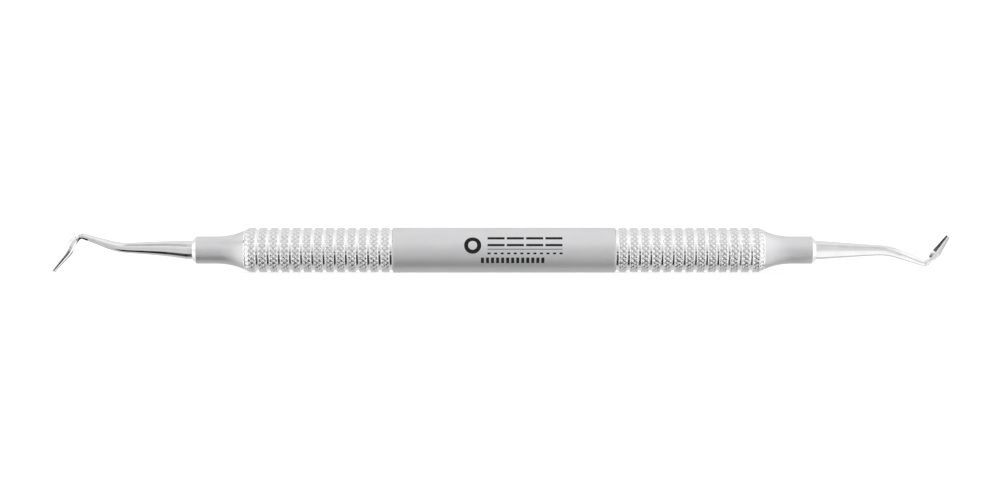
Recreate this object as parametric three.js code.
// A double-ended dental hand instrument in stainless steel, in millimetres.
// The handle lies along X, both ends bend in the XZ plane, and +Z is up.
// The origin is the middle of the handle, on its axis.
// Turned pieces are faceted rounds whose flats stand at the stated radius.
import * as THREE from 'three'

// Handle
const ROUND_FACETS = 24
const HANDLE_RADIUS = 4.5
const HOLLOW_RADIUS = 3.3
const BARREL_HALF_LENGTH = 22.2

// Ring grooves of one grip
const GRIP_START = 22.25
const GROOVE_COUNT = 13
const FIRST_GROOVE = 22.56
const GROOVE_PITCH = 2.221
const GROOVE_WIDTH = 0.72
const GROOVE_WALL_SLOPE = 0.1
const GROOVE_RADIUS = 4.1

// Flare, neck and nose at the outer end of one grip
const FLARE_START = 50.9
const FLARE_CORNER = 53.7
const FLARE_END = 57.6
const NECK_RADIUS = 2.73
const NOSE_CHAMFER_START = 61.5
const NOSE_END = 62.25
const NOSE_RADIUS = 1.98

// Socket for the tang of a working end
const SOCKET_RADIUS = 1.86
const SOCKET_START = 51.2
const HOLLOW_END = 50.0

// Sleeve that joins the barrel to one grip
const SLEEVE_START = 10.5
const SLEEVE_END = 34.5
const SLEEVE_OUTER_RADIUS = 3.27
const SLEEVE_INNER_RADIUS = 2.4

// Working ends: tang, tapered shank, bend, faceted neck and ridged blade
const TANG_START = 51.4
const TANG_CHAMFER = 0.3
const SHANK_ROOT_RADIUS = 1.82
const TAPER_START = 63.3
const BEND_DETAIL_START = 75.0
const NECK_LENGTH = 2.3
const FACET_FADE = 0.7
const STATION_STEP = 0.5

// Radius of the round shank at distances from the tang's inner end
const SHANK_RADII = [
  [0, SHANK_ROOT_RADIUS],
  [TAPER_START - TANG_START, SHANK_ROOT_RADIUS],
  [15.8, 1.54],
  [19.6, 1.27],
  [23.1, 1.06],
  [25.6, 0.96],
  [28.1, 0.87],
  [30.9, 0.68],
  [33.0, 0.6],
  [33.9, 0.5],
  [60.0, 0.5],
]

// Corners of each centreline are [distance along the handle, height, rounding].
// Widths go from the shoulder to the tip as [share of the blade's length, width].
// Thickness is a share of the width, on the blade and at the start of the neck.
// Edges are the corners of the front of the section, from the upper edge to the lower one,
// as [facet number, share of half the width, share of half the thickness].
const LEFT_END = {
  corners: [
    [67.0, 0.3, 3.0],
    [77.1, 0.45, 2.2],
    [84.6, 2.9, 0.7],
    [86.3, 1.55, 0.8],
    [87.1, -0.3, 1.1],
  ],
  tip: [90.25, -4.2],
  widths: [[0, 1.9], [0.2, 1.86], [0.4, 1.5], [1, 0.94]],
  bladeLength: 6.3,
  thicknessShare: 0.62,
  neckShare: 0.62,
  edges: [[0, 1, 0], [5, 0.14, 1], [7, 0, 1], [9, -0.52, 0.885], [11, -0.8, 0.54], [12, -1, 0]],
}
const RIGHT_END = {
  corners: [
    [76.9, -0.05, 2.2],
    [84.35, -2.8, 0.7],
    [86.4, -0.63, 0.4],
  ],
  tip: [88.82, 2.76],
  widths: [[0, 1.9], [1, 0.92]],
  bladeLength: 4.1,
  thicknessShare: 0.72,
  neckShare: 1.02,
  edges: [[0, 1, 0], [4, 0.2, 0.8], [7, -0.25, 1], [11, -0.9, 0.93], [12, -1, 0]],
}

const satinSteel = () =>
  new THREE.MeshStandardMaterial({ color: 0xbcbcc0, roughness: 0.38, metalness: 1.0 })
const knurledSteel = () =>
  new THREE.MeshStandardMaterial({ color: 0xc4c4c8, roughness: 0.45, metalness: 1.0 })
const polishedSteel = () =>
  new THREE.MeshStandardMaterial({ color: 0xd0d0d4, roughness: 0.18, metalness: 1.0 })
const plainSteel = () =>
  new THREE.MeshStandardMaterial({ color: 0xa8a8ac, roughness: 0.5, metalness: 1.0 })

// Turns a closed profile of [position along X, radius] points about the X axis.
function turned(profile) {
  const toCorner = 1 / Math.cos(Math.PI / ROUND_FACETS)
  const points = profile.map(([x, radius]) => new THREE.Vector2(radius * toCorner, x))
  points.push(points[0].clone())
  const halfFacet = Math.PI / ROUND_FACETS
  const geometry = new THREE.LatheGeometry(points, ROUND_FACETS, halfFacet)
  return geometry.rotateZ(-Math.PI / 2)
}

function tube(start, end, outerRadius, innerRadius) {
  return turned([
    [start, outerRadius],
    [end, outerRadius],
    [end, innerRadius],
    [start, innerRadius],
  ])
}

// The ring grooves. The first one begins at the joint, where the barrel's end is its inner wall.
function groovePoints() {
  const half = GROOVE_WIDTH / 2
  const floor = half - GROOVE_WALL_SLOPE
  const points = []
  for (let k = 0; k < GROOVE_COUNT; k++) {
    const centre = FIRST_GROOVE + k * GROOVE_PITCH
    if (k === 0) {
      points.push([GRIP_START, GROOVE_RADIUS])
    } else {
      points.push([centre - half, HANDLE_RADIUS], [centre - floor, GROOVE_RADIUS])
    }
    points.push([centre + floor, GROOVE_RADIUS], [centre + half, HANDLE_RADIUS])
  }
  return points
}

// The concave flare, which leaves the grip at an angle and runs smoothly into the neck.
function flarePoints() {
  const flare = new THREE.QuadraticBezierCurve(
    new THREE.Vector2(FLARE_START, HANDLE_RADIUS),
    new THREE.Vector2(FLARE_CORNER, NECK_RADIUS),
    new THREE.Vector2(FLARE_END, NECK_RADIUS),
  )
  return flare.getPoints(7).map((point) => [point.x, point.y])
}

function gripGeometry() {
  return turned([
    ...groovePoints(),
    ...flarePoints(),
    [NOSE_CHAMFER_START, NECK_RADIUS],
    [NOSE_END, NOSE_RADIUS],
    [NOSE_END, SOCKET_RADIUS],
    [SOCKET_START, SOCKET_RADIUS],
    [HOLLOW_END, HOLLOW_RADIUS],
    [GRIP_START, HOLLOW_RADIUS],
  ])
}

// A straight line through the corners and the tip, rounded at each corner.
function centreline({ corners, tip }) {
  const path = new THREE.Path().moveTo(TANG_START, 0)
  corners.forEach(([x, z, rounding], index) => {
    const corner = new THREE.Vector2(x, z)
    const next = new THREE.Vector2(...(corners[index + 1] ?? tip).slice(0, 2))
    const straight = new THREE.Vector2(TAPER_START, 0)
    const last = index > 0 ? new THREE.Vector2(...corners[index - 1].slice(0, 2)) : straight
    const before = last.sub(corner).setLength(rounding).add(corner)
    const after = next.sub(corner).setLength(rounding).add(corner)
    if (index === 0) path.lineTo(TAPER_START, 0)
    path.lineTo(before.x, before.y).quadraticCurveTo(x, z, after.x, after.y)
  })
  return path.lineTo(...tip)
}

function interpolate(table, at) {
  const upper = Math.max(1, table.findIndex(([x]) => x >= at))
  const [x0, y0] = table[upper - 1]
  const [x1, y1] = table[upper]
  return THREE.MathUtils.mapLinear(at, x0, x1, y0, y1)
}

// Across and sideways position of one facet corner of the blade's section, for a half width of 1.
// The back mirrors the front.
function bladeCorner(facet, { edges, thicknessShare }) {
  const onBack = facet > ROUND_FACETS / 2
  const front = onBack ? ROUND_FACETS - facet : facet
  const across = interpolate(edges.map(([number, value]) => [number, value]), front)
  const height = interpolate(edges.map(([number, , value]) => [number, value]), front)
  return [across, height * thicknessShare * (onBack ? -1 : 1)]
}

// Section offsets at one station: round along the shank, then the faceted neck and the blade.
function sectionCorner(facet, at, total, end) {
  const angle = (facet / ROUND_FACETS) * Math.PI * 2
  const radius = interpolate(SHANK_RADII, at)
  const round = [radius * Math.cos(angle), radius * Math.sin(angle)]
  const bladeStart = total - end.bladeLength
  const along = THREE.MathUtils.clamp((at - bladeStart) / end.bladeLength, 0, 1)
  const bladeSize = interpolate(end.widths, along) / 2
  const intoNeck = at - bladeStart + NECK_LENGTH
  const spread = THREE.MathUtils.clamp(intoNeck / NECK_LENGTH, 0, 1)
  const neckSizes = [radius, (radius * end.neckShare) / end.thicknessShare]
  const flat = bladeCorner(facet, end).map(
    (value, axis) => value * THREE.MathUtils.lerp(neckSizes[axis], bladeSize, spread),
  )
  const share = THREE.MathUtils.clamp(intoNeck / FACET_FADE, 0, 1)
  return round.map((value, axis) => THREE.MathUtils.lerp(value, flat[axis], share))
}

// Distances along the centreline at which the working end has a ring of corners: few on the
// straight, then even steps through the bend, the neck and the blade.
function stations(total, bladeLength) {
  const bend = BEND_DETAIL_START - TANG_START
  const bladeStart = total - bladeLength
  const marks = [bend, bladeStart - NECK_LENGTH, bladeStart, total]
  const straight = SHANK_RADII.slice(1).map(([at]) => at)
  const list = [0, TANG_CHAMFER, ...straight.filter((at) => at < bend), bend]
  marks.slice(1).forEach((mark, index) => {
    const steps = Math.round((mark - marks[index]) / STATION_STEP)
    for (let k = 1; k <= steps; k++) list.push(THREE.MathUtils.lerp(marks[index], mark, k / steps))
  })
  return list
}

// One forged piece: a round bar carried along its centreline, with its ends closed by flat caps.
function workingEndGeometry(end) {
  const path = centreline(end)
  const total = path.getLength()
  const rings = stations(total, end.bladeLength)
  const profile = rings.map((at) => new THREE.Vector2(1, at))
  profile.unshift(new THREE.Vector2(0, 0))
  profile.push(new THREE.Vector2(0, total))
  const geometry = new THREE.LatheGeometry(profile, ROUND_FACETS)
  const position = geometry.getAttribute('position')
  for (let index = 0; index < position.count; index++) {
    const facet = Math.floor(index / profile.length) % ROUND_FACETS
    const { x: reach, y: at } = profile[index % profile.length]
    const middle = path.getPointAt(at / total)
    const along = path.getTangentAt(at / total)
    const tangEnd = at === 0 ? 1 - TANG_CHAMFER / SHANK_ROOT_RADIUS : 1
    const [across, side] = sectionCorner(facet, at, total, end)
    position.setXYZ(
      index,
      middle.x - along.y * across * reach * tangEnd,
      -side * reach * tangEnd,
      middle.y + along.x * across * reach * tangEnd,
    )
  }
  geometry.computeVertexNormals()
  return geometry
}

const instrument = new THREE.Group()

function addPiece(name, geometry, material, parent = instrument) {
  const mesh = new THREE.Mesh(geometry, material)
  mesh.name = name
  parent.add(mesh)
}

// The smooth middle of the handle, a plain hollow tube.
addPiece(
  'centre_barrel',
  tube(-BARREL_HALF_LENGTH, BARREL_HALF_LENGTH, HANDLE_RADIUS, HOLLOW_RADIUS),
  satinSteel(),
)

// Each side is the same grip and sleeve; the left side is the right one turned half way about Z.
const rightSide = new THREE.Group()
const leftSide = new THREE.Group()
leftSide.rotation.z = Math.PI
instrument.add(leftSide, rightSide)

function addSide(side, parent, end) {
  addPiece(`${side}_grip`, gripGeometry(), knurledSteel(), parent)
  const sleeve = tube(SLEEVE_START, SLEEVE_END, SLEEVE_OUTER_RADIUS, SLEEVE_INNER_RADIUS)
  addPiece(`${side}_joining_sleeve`, sleeve, plainSteel(), parent)
  addPiece(`${side}_working_end`, workingEndGeometry(end), polishedSteel(), parent)
}

addSide('left', leftSide, LEFT_END)
addSide('right', rightSide, RIGHT_END)

export default instrument
